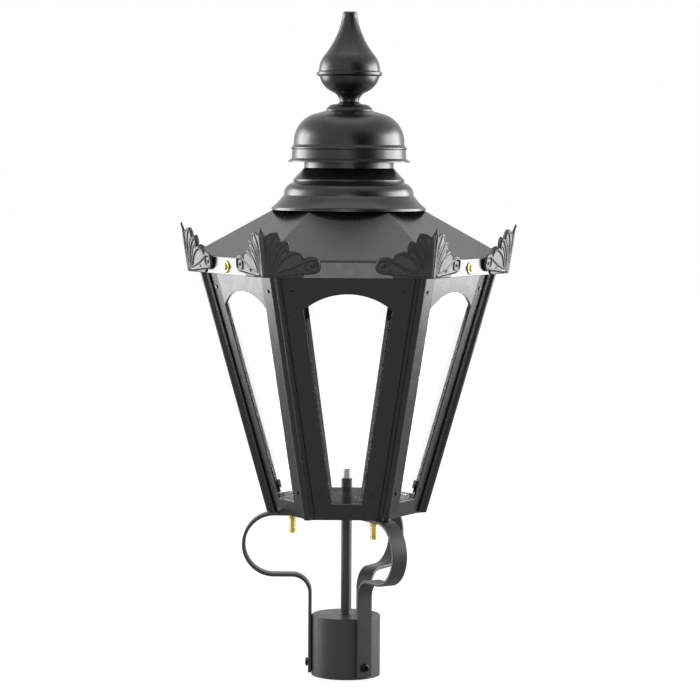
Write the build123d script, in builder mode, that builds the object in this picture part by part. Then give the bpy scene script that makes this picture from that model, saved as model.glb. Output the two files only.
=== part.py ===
from build123d import *
from math import atan, cos, degrees, radians, sin, sqrt, tan
import os

# Hexagonal post top lantern, in millimetres, standing on the open foot of its post socket.
# The corners of the hexagon lie on azimuths 0, 60 ... 300 degrees, so a flat face looks along -Y.
# The roof lifts off, its three screws back out of it and the three post screws back out of the socket.

os.makedirs("parts", exist_ok=True)

corner_azimuths = [60 * k for k in range(6)]
face_azimuths = [30 + 60 * k for k in range(6)]
arm_azimuths = [60, 180, 300]
roof_screw_azimuths = [90, 210, 330]
half_face = radians(30)

# Post socket: a tube for a 76 mm post spigot, closed by a plate.
post_bore_radius = 39.0
socket_wall = 3.0
socket_depth = 71.0
socket_plate = 3.0
plate_chamfer = 0.8
socket_radius = post_bore_radius + socket_wall
socket_top = socket_depth + socket_plate

# Bracket arms: flat bar, up the socket, out into a large loop and back in under the base.
# The radii are those of the bar's inner face, the one that lies on the socket.
bar_width = 20.0
bar_thickness = 4.0
weld_gap = 0.05
strap_bottom = 3.0
neck_radius = 24.0
loop_radius = 35.5
loop_run = 22.0
foot_end_margin = 14.0
foot_top = 200.0
stud_reach = 66.0
foot_inner_reach = stud_reach - foot_end_margin
strap_face = socket_radius + weld_gap
loop_reach = strap_face + neck_radius + loop_run
foot_bottom = foot_top - bar_thickness
run_top = foot_bottom - 2 * loop_radius
strap_top = run_top - neck_radius

# Post screws: M6 button heads through strap and socket, with their tips clear of the bore.
post_screw_radius = 3.0
thread_clearance = 0.05
post_screw_height = 15.0
post_screw_head_radius = 5.25
post_screw_head = 3.3
post_screw_crown = 2.6
post_screw_key = 4.0
post_screw_key_depth = 2.0
post_screw_head_gap = 0.3
post_screw_tip_recess = 0.1

# Lantern body: six panels between corner bars that lean outwards.
panel_lift = 6.5
panel_height = 299.5
body_foot_radius = 93.3
body_head_radius = 177.7
panel_thickness = 1.5
panel_seam = 1.2
stile = 30.0
sill_height = 13.5
spring_height = 246.0
crown_height = 266.5
panel_bottom = foot_top + panel_lift
panel_top = panel_bottom + panel_height
hip_slope = (body_head_radius - body_foot_radius) / (panel_top - panel_bottom)
hip_tilt = degrees(atan(hip_slope))
face_tilt = degrees(atan(hip_slope * cos(half_face)))
face_stretch = 1 / cos(radians(face_tilt))

# Corner bars: a rounded nose on two thin flanges that lap the panels.
flange_width = 8.5
flange_thickness = 1.6
nose_radius = 4.3
nose_reach = 1.4
bar_foot_gap = 0.3
bar_overrun = 30.0

# Glass and what holds it.
glass_thickness = 3.0
glass_cover = 5.0
glass_head_clearance = 23.0
clip_sill_height = 25.0
clip_head_clearance = 32.0
clip_width = 10.0
clip_thickness = 1.0
clip_base = 4.0
clip_edge_gap = 5.5
clip_lap = 4.0
rivet_radius = 1.5
rivet_hole_radius = 1.6
rivet_head_radius = 2.4
rivet_head = 0.6
rivet_head_taper = 35.0

# Base: a hexagonal tray frame with a loose floor plate, both bolted to the arms' feet.
tray_wall = 1.5
tray_flange = 2.0
tray_height = 14.5
tray_flange_margin = 8.3
floor_thickness = 2.0
floor_lap = 18.0
floor_bottom = foot_top + tray_flange
floor_top = floor_bottom + floor_thickness
tray_top = foot_top + tray_height
tray_opening_apothem = (stud_reach - tray_flange_margin) * cos(half_face)
floor_apothem = tray_opening_apothem + floor_lap
floor_screw_inset = 8.0
floor_screw_reach = tray_opening_apothem + floor_screw_inset
floor_screw_radius = 2.0
floor_nut_radius = 4.5
floor_nut = 5.0
floor_nut_taper = 20.0
floor_head_taper = 12.0

# Brass studs under the arms' feet.
stud_radius = 3.0
stud_hole_radius = 3.2
stud_head_flats = 9.0
stud_head = 4.0
stud_hex_flats = 8.0
stud_hex = 13.0
stud_nut_flats = 10.0
stud_nut = 4.5
stud_tail = 2.0

# Supply tube and lampholder nipple.
tube_radius = 6.5
tube_bore = 5.1
tube_rise = 37.6
tube_hole_radius = 6.7
locknut_flats = 19.0
locknut = 4.0
nipple_radius = 5.0
nipple_bore = 3.6
nipple_depth = 15.0
nipple_rise = 11.0
tube_top = floor_top + tube_rise

# Top rail: an angle ring that caps the panels and carries the roof.
rail_nose_clearance = 1.15
rail_thickness = 1.5
rail_flange = 3.0
rail_shelf = 21.5
rail_skirt = 12.0
rail_top = panel_top + rail_flange
nose_stand = (nose_reach + nose_radius) / cos(radians(hip_tilt))
rail_apothem = (body_head_radius + nose_stand + rail_nose_clearance) * cos(half_face) + rail_thickness
rail_inner_apothem = rail_apothem - rail_shelf

# Roof: eave band, canopy shell and the ring that it sits on. The canopy laps in under the vent's rim.
eave_gap = 3.3
eave_thickness = 1.5
eave_height = 20.3
eave_above_seat = 3.7
eave_hem = 1.5
canopy_slope = 0.551
canopy_thickness = 1.5
vent_rim_radius = 93.7
canopy_lap = 7.7
seat_gap = 0.3
seat_thickness = 1.5
seat_width = 17.0
eave_inner_apothem = rail_apothem + eave_gap
eave_apothem = eave_inner_apothem + eave_thickness
eave_radius = eave_apothem / cos(half_face)
seat_inner_apothem = eave_inner_apothem - seat_width
seat_bottom = rail_top + seat_gap
eave_top = seat_bottom + eave_above_seat
eave_bottom = eave_top - eave_height
canopy_top_radius = vent_rim_radius - canopy_lap
canopy_top = eave_top + (eave_radius - canopy_top_radius) * canopy_slope

# Roof screws: brass M5 with cup washers and weld nuts, bearing on the top rail.
roof_screw_lift = 9.3
roof_screw_height = eave_bottom + roof_screw_lift
roof_screw_radius = 2.5
roof_screw_bearing_gap = 0.3
roof_screw_head_radius = 4.2
roof_screw_head = 2.0
roof_screw_slot = 1.2
screw_head_taper = 20.0
washer_radius = 7.5
washer_thickness = 1.8
washer_gap = 0.3
washer_taper = 30.0
weld_nut_flats = 10.0
weld_nut = 2.5

# Corner crests: cast acanthus leaves bent round the corners, leaning out.
# Outlines are lists of steps, with reach and height: a line gives its end, an arc its middle and its end.
crest_lift = 0.3
crest_bottom = eave_bottom + crest_lift
crest_lean = 8.2
crest_thickness = 2.4
crest_gap = 0.3
crest_height = 60.0
crest_mitre = 3.0
crest_outline = (
    ((44.0, 0.0),),
    ((46.0, 3.6),),
    ((56.0, 4.4),),
    ((66.0, 14.5), (57.5, 25.0)),
    ((52.0, 25.4), (47.5, 23.0)),
    ((44.5, 28.0), (38.5, 31.0)),
    ((33.5, 32.2), (29.5, 30.0)),
    ((31.5, 36.5), (30.0, 43.5)),
    ((26.0, 43.8), (21.5, 41.5)),
    ((21.8, 47.0), (19.0, 53.0)),
    ((11.5, 52.8), (5.0, 49.0)),
)
crest_rivet_reach = 33.0
crest_rivet_height = 6.5
crest_relief = 1.2
crest_rib_width = 1.6
crest_ribs = (
    ((5.0, 4.0), (6.5, 30.0), (16.0, 50.0)),
    ((10.5, 9.0), (14.0, 27.0), (27.0, 41.5)),
    ((16.0, 10.0), (22.0, 21.5), (35.5, 29.0)),
    ((12.0, 4.5), (29.0, 11.0), (47.5, 12.5)),
)
scroll_reach = 56.5
scroll_height = 14.8
scroll_radius = 8.0
scroll_wire = 2.6
scroll_eye_radius = 2.4

# Vent base, dome and finial: spun and turned shapes round the axis.
spinning_wall = 1.5
vent_rim_gap = 0.3
vent_neck_radius = 54.2
vent_height = 57.7
vent_rim = eave_top + (eave_radius - vent_rim_radius + spinning_wall) * canopy_slope + vent_rim_gap
vent_neck_top = vent_rim + vent_height
spider_thickness = 3.0
spider_arm_width = 12.0
spider_hub_radius = 14.0
dome_rim_radius = 73.6
dome_flat_radius = 28.5
dome_height = 62.0
dome_top = vent_neck_top + dome_height
vent_outline = (
    ((vent_rim_radius, 2.7),),
    ((92.0, 3.7),),
    ((86.2, 8.8), (81.0, 15.2)),
    ((78.6, 17.7),),
    ((78.6, 19.7),),
    ((76.2, 26.9), (68.2, 32.7)),
    ((66.6, 34.2),),
    ((67.4, 36.1), (66.0, 37.9)),
    ((vent_neck_radius, 50.7),),
    ((vent_neck_radius, vent_height),),
)
dome_outline = (
    ((dome_rim_radius, 1.5),),
    ((69.4, 4.5),),
    ((69.0, 15.0),),
    ((70.0, 17.0), (68.4, 19.0)),
    ((67.2, 21.0),),
    ((67.0, 25.0),),
    ((60.0, 45.6), (39.0, 59.0)),
    ((dome_flat_radius, dome_height),),
)
collar_radius = 28.0
collar_height = 11.0
collar_lip = 1.0
collar_top = dome_top + collar_height
finial_neck_radius = 11.6
finial_ring_radius = 39.6
finial_lower_height = 33.7
finial_seam = collar_top + finial_lower_height
finial_upper_height = 74.3
finial_top = finial_seam + finial_upper_height
collar_outline = (
    ((collar_radius, collar_lip),),
    ((25.6, 4.8), (20.0, 7.8)),
    ((14.2, 8.7), (finial_neck_radius, collar_height)),
)
finial_lower_outline = (
    ((14.0, 6.4), (19.8, 11.2)),
    ((31.0, 19.6), (36.2, 30.2)),
    ((38.2, 31.1),),
    ((finial_ring_radius, 32.3),),
    ((finial_ring_radius, finial_lower_height),),
)
finial_upper_outline = (
    ((finial_ring_radius, 1.4),),
    ((37.0, 3.0),),
    ((35.4, 13.0), (28.6, 24.4)),
    ((15.9, 45.8), (9.3, 67.0)),
    ((8.9, 72.6),),
    ((7.4, finial_upper_height),),
)
rod_radius = 4.0
rod_clearance = 0.2
rod_engagement = 13.0
rod_end_gap = 1.0
rod_top = finial_seam + rod_engagement
rod_head_flats = 13.0
rod_head = 5.0
spacer_radius = 7.0
rod_hole = rod_radius + rod_clearance


def polar(reach, azimuth, height):
    """Point at a reach from the axis, on an azimuth and at a height."""
    return (reach * cos(radians(azimuth)), reach * sin(radians(azimuth)), height)


def face_plane(azimuth, apothem, height, tilt=0.0):
    """Plane of a flat face: x runs along the face, y up it and z out of it."""
    turn = radians(azimuth)
    lean = radians(tilt)
    outward = (cos(lean) * cos(turn), cos(lean) * sin(turn), -sin(lean))
    return Plane(origin=polar(apothem, azimuth, height), x_dir=(-sin(turn), cos(turn), 0), z_dir=outward)


def corner_section(azimuth, reach, height):
    """Plane across a corner bar: y points out of the lantern and z up along the bar."""
    turn = radians(azimuth)
    lean = radians(hip_tilt)
    along = (sin(lean) * cos(turn), sin(lean) * sin(turn), cos(lean))
    return Plane(origin=polar(reach, azimuth, height), x_dir=(sin(turn), -cos(turn), 0), z_dir=along)


def radial_plane(azimuth):
    """Upright plane through the axis: x runs out from the axis and y up."""
    turn = radians(azimuth)
    return Plane(origin=(0, 0, 0), x_dir=(cos(turn), sin(turn), 0), z_dir=(sin(turn), -cos(turn), 0))


def trace(start, steps):
    """Draw an outline from a start point, where a step holds an end or an arc's middle and end."""
    for step in steps:
        if len(step) == 1:
            drawn = Line(start, *step)
        else:
            drawn = ThreePointArc(start, *step)
        start = drawn @ 1
    return start


def raised(outline, base):
    """Steps of an outline with their heights set above a base."""
    return [[(reach, base + height) for reach, height in step] for step in outline]


def save(builder, name):
    """Label a finished piece and write it under its node name."""
    builder.part.label = name
    export_step(builder.part, f"parts/{name}.step")


# Post socket and its plate ------------------------------------------------------------------

with BuildPart() as post_socket:
    with BuildSketch():
        Circle(socket_radius)
        Circle(post_bore_radius, mode=Mode.SUBTRACT)
    extrude(amount=socket_depth)
    for azimuth in arm_azimuths:
        with BuildSketch(face_plane(azimuth, 0, post_screw_height)):
            Circle(post_screw_radius + thread_clearance)
        extrude(amount=socket_radius + bar_thickness, mode=Mode.SUBTRACT)
save(post_socket, "post_socket")

with BuildPart() as socket_top_plate:
    with BuildSketch(Plane.XY.offset(socket_depth)):
        Circle(socket_radius)
        Circle(tube_bore, mode=Mode.SUBTRACT)
    extrude(amount=socket_plate)
    chamfer(socket_top_plate.edges().group_by(Axis.Z)[-1].sort_by(SortBy.RADIUS)[-1], plate_chamfer)
save(socket_top_plate, "socket_top_plate")

# Bracket arms -------------------------------------------------------------------------------

neck_corner = neck_radius * (1 - sqrt(0.5))
for number, azimuth in enumerate(arm_azimuths, start=1):
    with BuildPart() as bracket_arm:
        with BuildSketch(radial_plane(azimuth)):
            with BuildLine():
                strap = Line((strap_face, strap_bottom), (strap_face, strap_top))
                neck = ThreePointArc(
                    strap @ 1,
                    (strap_face + neck_corner, run_top - neck_corner),
                    (strap_face + neck_radius, run_top),
                )
                run = Line(neck @ 1, (loop_reach, run_top))
                loop = ThreePointArc(
                    run @ 1,
                    (loop_reach + loop_radius, run_top + loop_radius),
                    (loop_reach, foot_bottom),
                )
                Line(loop @ 1, (foot_inner_reach, foot_bottom))
                offset(amount=bar_thickness, side=Side.RIGHT)
            make_face()
        extrude(amount=bar_width / 2, both=True)
        with BuildSketch(face_plane(azimuth, 0, post_screw_height)):
            Circle(post_screw_radius + thread_clearance)
        extrude(amount=socket_radius + 2 * bar_thickness, mode=Mode.SUBTRACT)
        with BuildSketch(Plane.XY.offset(foot_bottom)):
            with Locations(polar(stud_reach, azimuth, 0)):
                Circle(stud_hole_radius)
        extrude(amount=bar_thickness, mode=Mode.SUBTRACT)
    save(bracket_arm, f"bracket_arm_{number}")

# Base frame, floor plate and their fixings --------------------------------------------------


def body_radius(height):
    """Circumradius of the panels' outer faces at a height."""
    return body_foot_radius + (height - panel_bottom) * hip_slope


def inset(thickness):
    """Circumradius lost when every leaning face moves in by a thickness."""
    return thickness * face_stretch / cos(half_face)


arm_holes = [polar(stud_reach, azimuth, 0) for azimuth in arm_azimuths]
floor_screw_holes = [polar(floor_screw_reach, azimuth, 0) for azimuth in roof_screw_azimuths]

with BuildPart() as base_frame:
    with BuildSketch(Plane.XY.offset(foot_top)):
        RegularPolygon(body_radius(foot_top) - inset(panel_thickness), 6)
    with BuildSketch(Plane.XY.offset(tray_top)):
        RegularPolygon(body_radius(tray_top) - inset(panel_thickness), 6)
    loft()
    with BuildSketch(Plane.XY.offset(floor_bottom)):
        RegularPolygon(body_radius(floor_bottom) - inset(panel_thickness + tray_wall), 6)
    with BuildSketch(Plane.XY.offset(tray_top)):
        RegularPolygon(body_radius(tray_top) - inset(panel_thickness + tray_wall), 6)
    loft(mode=Mode.SUBTRACT)
    with BuildSketch(Plane.XY.offset(foot_top)):
        RegularPolygon(tray_opening_apothem / cos(half_face), 6)
        with Locations(arm_holes):
            Circle(stud_hole_radius)
        with Locations(floor_screw_holes):
            Circle(floor_screw_radius)
    extrude(amount=tray_flange, mode=Mode.SUBTRACT)
save(base_frame, "base_frame")

with BuildPart() as floor_plate:
    with BuildSketch(Plane.XY.offset(floor_bottom)):
        RegularPolygon(floor_apothem / cos(half_face), 6)
        Circle(tube_hole_radius, mode=Mode.SUBTRACT)
        with Locations(arm_holes):
            Circle(stud_hole_radius, mode=Mode.SUBTRACT)
        with Locations(floor_screw_holes):
            Circle(floor_screw_radius, mode=Mode.SUBTRACT)
    extrude(amount=floor_thickness)
save(floor_plate, "floor_plate")

with BuildPart() as floor_screws:
    with BuildSketch(Plane.XY.offset(foot_top)):
        with Locations(floor_screw_holes):
            Circle(floor_screw_radius)
    extrude(amount=tray_flange + floor_thickness)
    with BuildSketch(Plane.XY.offset(floor_top)):
        with Locations(floor_screw_holes):
            Circle(floor_nut_radius)
    extrude(amount=floor_nut / 2, taper=floor_nut_taper)
    with BuildSketch(Plane.XY.offset(foot_top)):
        with Locations(floor_screw_holes):
            Circle(floor_nut_radius)
    extrude(amount=-floor_nut, taper=floor_head_taper)
save(floor_screws, "floor_screws")

stud_bottom = foot_bottom - stud_nut - stud_hex - stud_head
with BuildPart() as arm_studs:
    with BuildSketch(Plane.XY.offset(stud_bottom)):
        with Locations(arm_holes):
            RegularPolygon(stud_head_flats / 2, 6, major_radius=False)
    extrude(amount=stud_head)
    with BuildSketch(Plane.XY.offset(stud_bottom + stud_head)):
        with Locations(arm_holes):
            RegularPolygon(stud_hex_flats / 2, 6, major_radius=False)
    extrude(amount=stud_hex)
    with BuildSketch(Plane.XY.offset(stud_bottom + stud_head + stud_hex)):
        with Locations(arm_holes):
            Circle(stud_radius)
    extrude(amount=floor_top + stud_nut + stud_tail - stud_bottom - stud_head - stud_hex)
save(arm_studs, "arm_studs")

with BuildPart() as stud_nuts:
    for seat in (foot_bottom - stud_nut, floor_top):
        with BuildSketch(Plane.XY.offset(seat)):
            with Locations(arm_holes):
                RegularPolygon(stud_nut_flats / 2, 6, major_radius=False)
                Circle(stud_radius, mode=Mode.SUBTRACT)
        extrude(amount=stud_nut)
save(stud_nuts, "stud_nuts")

# Supply tube, its locknuts and the lampholder nipple ----------------------------------------

with BuildPart() as supply_tube:
    with BuildSketch(Plane.XY.offset(socket_top)):
        Circle(tube_radius)
        Circle(tube_bore, mode=Mode.SUBTRACT)
    extrude(amount=tube_top - socket_top)
save(supply_tube, "supply_tube")

with BuildPart() as tube_locknuts:
    for seat in (floor_bottom - locknut, floor_top):
        with BuildSketch(Plane.XY.offset(seat)):
            RegularPolygon(locknut_flats / 2, 6, major_radius=False)
            Circle(tube_radius, mode=Mode.SUBTRACT)
        extrude(amount=locknut)
save(tube_locknuts, "tube_locknuts")

with BuildPart() as lampholder_nipple:
    with BuildSketch(Plane.XY.offset(tube_top - nipple_depth)):
        Circle(nipple_radius)
        Circle(nipple_bore, mode=Mode.SUBTRACT)
    extrude(amount=nipple_depth + nipple_rise)
save(lampholder_nipple, "lampholder_nipple")

# Side panels, glass, clips and rivets -------------------------------------------------------

face_length = (panel_top - panel_bottom) * face_stretch
glass_top_height = face_length - glass_head_clearance
clip_heights = (clip_sill_height, face_length - clip_head_clearance)
foot_half_width = body_foot_radius / 2
spread = (body_head_radius - body_foot_radius) / 2 / face_length


def half_width(height):
    """Half the width between two corner lines, at a distance up the face."""
    return foot_half_width + spread * height


def window_half(height):
    """Half the window's width, which leaves stiles of even width."""
    return half_width(height) - stile


def rivet_points():
    """Rivet places on a face plane, one for each glazing clip."""
    reach = glass_cover + clip_edge_gap
    return [(side * (window_half(h) + reach), h) for h in clip_heights for side in (-1, 1)]


for number, azimuth in enumerate(face_azimuths, start=1):
    outer_face = face_plane(azimuth, body_foot_radius * cos(half_face), panel_bottom, face_tilt)
    with BuildPart() as side_panel:
        with BuildSketch(outer_face):
            with BuildLine():
                Polyline(
                    (-half_width(0) + panel_seam, 0),
                    (half_width(0) - panel_seam, 0),
                    (half_width(face_length) - panel_seam, face_length),
                    (-half_width(face_length) + panel_seam, face_length),
                    close=True,
                )
            make_face()
            with BuildLine():
                window = Polyline(
                    (-window_half(spring_height), spring_height),
                    (-window_half(sill_height), sill_height),
                    (window_half(sill_height), sill_height),
                    (window_half(spring_height), spring_height),
                )
                ThreePointArc(window @ 1, (0, crown_height), window @ 0)
            make_face(mode=Mode.SUBTRACT)
            with Locations(rivet_points()):
                Circle(rivet_hole_radius, mode=Mode.SUBTRACT)
        extrude(amount=-panel_thickness)
        split(bisect_by=Plane.XY.offset(panel_top), keep=Keep.BOTTOM)
    save(side_panel, f"side_panel_{number}")

    with BuildPart() as glass_pane:
        glass_foot = (tray_top - panel_bottom) * face_stretch
        foot_half = window_half(glass_foot) + glass_cover
        head_half = window_half(glass_top_height) + glass_cover
        with BuildSketch(outer_face.offset(-panel_thickness)):
            with BuildLine():
                Polyline(
                    (-foot_half, glass_foot),
                    (foot_half, glass_foot),
                    (head_half, glass_top_height),
                    (-head_half, glass_top_height),
                    close=True,
                )
            make_face()
        extrude(amount=-glass_thickness)
    save(glass_pane, f"glass_pane_{number}")

with BuildPart() as glazing_clips:
    for azimuth in face_azimuths:
        outer_face = face_plane(azimuth, body_foot_radius * cos(half_face), panel_bottom, face_tilt)
        for place, height in rivet_points():
            side = 1 if place > 0 else -1
            seat = outer_face.offset(-panel_thickness)
            section = Plane(
                origin=seat.from_local_coords((place, height, 0)),
                x_dir=seat.x_dir * side,
                z_dir=seat.y_dir * side,
            )
            with BuildSketch(section):
                with BuildLine():
                    Polyline(
                        (clip_base, 0),
                        (-clip_base, 0),
                        (-clip_base, glass_thickness),
                        (-clip_edge_gap - clip_lap, glass_thickness),
                        (-clip_edge_gap - clip_lap, glass_thickness + clip_thickness),
                        (-clip_base + clip_thickness, glass_thickness + clip_thickness),
                        (-clip_base + clip_thickness, clip_thickness),
                        (clip_base, clip_thickness),
                        close=True,
                    )
                make_face()
            extrude(amount=clip_width / 2, both=True)
            with BuildSketch(seat):
                with Locations((place, height)):
                    Circle(rivet_hole_radius)
            extrude(amount=-clip_thickness, mode=Mode.SUBTRACT)
save(glazing_clips, "glazing_clips")

with BuildPart() as panel_rivets:
    for azimuth in face_azimuths:
        outer_face = face_plane(azimuth, body_foot_radius * cos(half_face), panel_bottom, face_tilt)
        with BuildSketch(outer_face):
            with Locations(rivet_points()):
                Circle(rivet_radius)
        extrude(amount=-panel_thickness - clip_thickness)
        with BuildSketch(outer_face):
            with Locations(rivet_points()):
                Circle(rivet_head_radius)
        extrude(amount=rivet_head, taper=rivet_head_taper)
save(panel_rivets, "panel_rivets")

# Corner bars --------------------------------------------------------------------------------

bar_foot = foot_top + bar_foot_gap
nose_foot = bar_foot - nose_radius
bar_length = face_length + bar_overrun
section_half_angle = degrees(atan(tan(half_face) * cos(radians(hip_tilt))))
flange_run = flange_width * cos(radians(section_half_angle))
flange_drop = flange_width * sin(radians(section_half_angle))
flange_lift = flange_thickness / cos(radians(section_half_angle))
for number, azimuth in enumerate(corner_azimuths, start=1):
    with BuildPart() as corner_bar:
        with BuildSketch(corner_section(azimuth, body_radius(nose_foot), nose_foot)):
            with Locations((0, nose_reach)):
                Circle(nose_radius)
            with BuildLine():
                Polyline(
                    (0, 0),
                    (2 * flange_run, -2 * flange_drop),
                    (-2 * flange_run, -2 * flange_drop),
                    close=True,
                )
            make_face(mode=Mode.SUBTRACT)
        extrude(amount=bar_length)
        with BuildSketch(corner_section(azimuth, body_foot_radius, panel_bottom)):
            with BuildLine():
                Polyline(
                    (0, 0),
                    (flange_run, -flange_drop),
                    (flange_run, -flange_drop + flange_lift),
                    (0, flange_lift),
                    (-flange_run, -flange_drop + flange_lift),
                    (-flange_run, -flange_drop),
                    close=True,
                )
            make_face()
        extrude(amount=bar_length)
        split(bisect_by=Plane.XY.offset(panel_top), keep=Keep.BOTTOM)
        split(bisect_by=Plane.XY.offset(bar_foot), keep=Keep.TOP)
    save(corner_bar, f"corner_bar_{number}")

# Top rail -----------------------------------------------------------------------------------

with BuildPart() as top_rail:
    with BuildSketch(Plane.XY.offset(panel_top - rail_skirt)):
        RegularPolygon(rail_apothem / cos(half_face), 6)
    extrude(amount=rail_skirt + rail_flange)
    with BuildSketch(Plane.XY.offset(panel_top - rail_skirt)):
        RegularPolygon((rail_apothem - rail_thickness) / cos(half_face), 6)
    extrude(amount=rail_skirt, mode=Mode.SUBTRACT)
    with BuildSketch(Plane.XY.offset(panel_top)):
        RegularPolygon(rail_inner_apothem / cos(half_face), 6)
    extrude(amount=rail_flange, mode=Mode.SUBTRACT)
save(top_rail, "top_rail")

# Eave band, canopy shell, seat ring ---------------------------------------------------------

crest_rivet_places = [side * (eave_radius / 2 - crest_rivet_reach) for side in (-1, 1)]

with BuildPart() as eave_band:
    with BuildSketch(Plane.XY.offset(eave_bottom)):
        RegularPolygon(eave_radius, 6)
    extrude(amount=eave_top - eave_bottom)
    with BuildSketch(Plane.XY.offset(eave_bottom)):
        RegularPolygon((eave_inner_apothem - eave_hem) / cos(half_face), 6)
    extrude(amount=eave_hem, mode=Mode.SUBTRACT)
    with BuildSketch(Plane.XY.offset(eave_bottom + eave_hem)):
        RegularPolygon(eave_inner_apothem / cos(half_face), 6)
    extrude(amount=eave_top - eave_bottom - eave_hem, mode=Mode.SUBTRACT)
    for azimuth in roof_screw_azimuths:
        with BuildSketch(face_plane(azimuth, eave_apothem, roof_screw_height)):
            Circle(roof_screw_radius + thread_clearance)
        extrude(amount=-2 * eave_thickness, mode=Mode.SUBTRACT)
    for azimuth in face_azimuths:
        with BuildSketch(face_plane(azimuth, eave_apothem, crest_bottom)):
            with Locations([(place, crest_rivet_height) for place in crest_rivet_places]):
                Circle(rivet_hole_radius)
        extrude(amount=-2 * eave_thickness, mode=Mode.SUBTRACT)
save(eave_band, "eave_band")

canopy_angle = atan(canopy_slope / cos(half_face))
canopy_inset = canopy_thickness / sin(canopy_angle) / cos(half_face)
with BuildPart() as roof_shell:
    with BuildSketch(Plane.XY.offset(eave_top)):
        RegularPolygon(eave_radius, 6)
    with BuildSketch(Plane.XY.offset(canopy_top)):
        RegularPolygon(canopy_top_radius, 6)
    loft()
    with BuildSketch(Plane.XY.offset(eave_top)):
        RegularPolygon(eave_radius - canopy_inset, 6)
    with BuildSketch(Plane.XY.offset(canopy_top)):
        RegularPolygon(canopy_top_radius - canopy_inset, 6)
    loft(mode=Mode.SUBTRACT)
save(roof_shell, "roof_shell")

with BuildPart() as roof_seat:
    with BuildSketch(Plane.XY.offset(seat_bottom)):
        RegularPolygon(eave_inner_apothem / cos(half_face), 6)
        RegularPolygon(seat_inner_apothem / cos(half_face), 6, mode=Mode.SUBTRACT)
    extrude(amount=seat_thickness)
save(roof_seat, "roof_seat")

# Roof screws with their washers and weld nuts -----------------------------------------------

with BuildPart() as weld_nuts:
    for azimuth in roof_screw_azimuths:
        with BuildSketch(face_plane(azimuth, eave_inner_apothem, roof_screw_height)):
            RegularPolygon(weld_nut_flats / 2, 6, major_radius=False)
            Circle(roof_screw_radius + thread_clearance, mode=Mode.SUBTRACT)
        extrude(amount=-weld_nut)
save(weld_nuts, "weld_nuts")

with BuildPart() as cup_washers:
    for azimuth in roof_screw_azimuths:
        with BuildSketch(face_plane(azimuth, eave_apothem, roof_screw_height)):
            Circle(washer_radius)
        extrude(amount=washer_thickness, taper=washer_taper)
        with BuildSketch(face_plane(azimuth, eave_apothem, roof_screw_height)):
            Circle(roof_screw_radius + thread_clearance)
        extrude(amount=washer_thickness, mode=Mode.SUBTRACT)
save(cup_washers, "cup_washers")

screw_tip = rail_apothem + roof_screw_bearing_gap
screw_head_seat = eave_apothem + washer_thickness + washer_gap
for number, azimuth in enumerate(roof_screw_azimuths, start=1):
    with BuildPart() as roof_screw:
        with BuildSketch(face_plane(azimuth, screw_tip, roof_screw_height)):
            Circle(roof_screw_radius)
        extrude(amount=screw_head_seat - screw_tip)
        with BuildSketch(face_plane(azimuth, screw_head_seat, roof_screw_height)):
            Circle(roof_screw_head_radius)
        extrude(amount=roof_screw_head, taper=screw_head_taper)
        with BuildSketch(face_plane(azimuth, screw_head_seat + roof_screw_head / 2, roof_screw_height)):
            Rectangle(roof_screw_slot, 2 * roof_screw_head_radius)
        extrude(amount=roof_screw_head / 2, mode=Mode.SUBTRACT)
    save(roof_screw, f"roof_screw_{number}")

# Post screws --------------------------------------------------------------------------------

post_tip = post_bore_radius + post_screw_tip_recess
post_head_seat = strap_face + bar_thickness + post_screw_head_gap
for number, azimuth in enumerate(arm_azimuths, start=1):
    with BuildPart() as post_screw:
        with BuildSketch(face_plane(azimuth, post_tip, post_screw_height)):
            Circle(post_screw_radius)
        extrude(amount=post_head_seat - post_tip)
        with BuildSketch(face_plane(azimuth, post_head_seat, post_screw_height)):
            Circle(post_screw_head_radius)
        extrude(amount=post_screw_head)
        head_edges = post_screw.edges().filter_by(GeomType.CIRCLE).group_by(SortBy.RADIUS)[-1]
        fillet(head_edges.sort_by(SortBy.DISTANCE)[-1], post_screw_crown)
        with BuildSketch(face_plane(azimuth, post_head_seat + post_screw_head, post_screw_height)):
            RegularPolygon(post_screw_key / 2, 6, major_radius=False)
        extrude(amount=-post_screw_key_depth, mode=Mode.SUBTRACT)
    save(post_screw, f"post_screw_{number}")

# Corner crests ------------------------------------------------------------------------------

crest_apothem = eave_apothem + crest_gap
crest_half = crest_apothem * tan(half_face)
crest_spread = sin(radians(crest_lean)) * tan(half_face)


def leaf(reach, height):
    """Point of a crest wing: reach back from the leaning corner line, and height up the wing."""
    return (crest_half + crest_spread * height - reach, height)


for number, azimuth in enumerate(corner_azimuths, start=1):
    wing_azimuth = azimuth - 30
    with BuildPart() as corner_crest:
        wing = face_plane(wing_azimuth, crest_apothem, crest_bottom, crest_lean)
        with BuildSketch(wing):
            with BuildLine():
                spine = Polyline(
                    leaf(0, crest_height),
                    leaf(-crest_mitre, crest_height),
                    leaf(-crest_mitre, 0),
                )
                wing_outline = [[leaf(*point) for point in step] for step in crest_outline]
                edge = trace(spine @ 1, wing_outline)
                Line(edge, spine @ 0)
            make_face()
        extrude(amount=crest_thickness)
        with BuildSketch(face_plane(wing_azimuth, eave_apothem, crest_bottom)):
            with Locations((eave_radius / 2 - crest_rivet_reach, crest_rivet_height)):
                Circle(rivet_hole_radius)
        extrude(amount=3 * crest_thickness, mode=Mode.SUBTRACT)
        with BuildSketch(wing.offset(crest_thickness)):
            with Locations(leaf(scroll_reach, scroll_height)):
                Circle(scroll_radius)
                Circle(scroll_radius - scroll_wire, mode=Mode.SUBTRACT)
                Circle(scroll_eye_radius)
            for rib in crest_ribs:
                with BuildLine():
                    ThreePointArc(*[leaf(*point) for point in rib])
                    offset(amount=crest_rib_width / 2, side=Side.BOTH)
                make_face()
        extrude(amount=crest_relief)
        split(bisect_by=radial_plane(azimuth), keep=Keep.TOP)
        mirror(about=radial_plane(azimuth))
    save(corner_crest, f"corner_crest_{number}")

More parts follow.
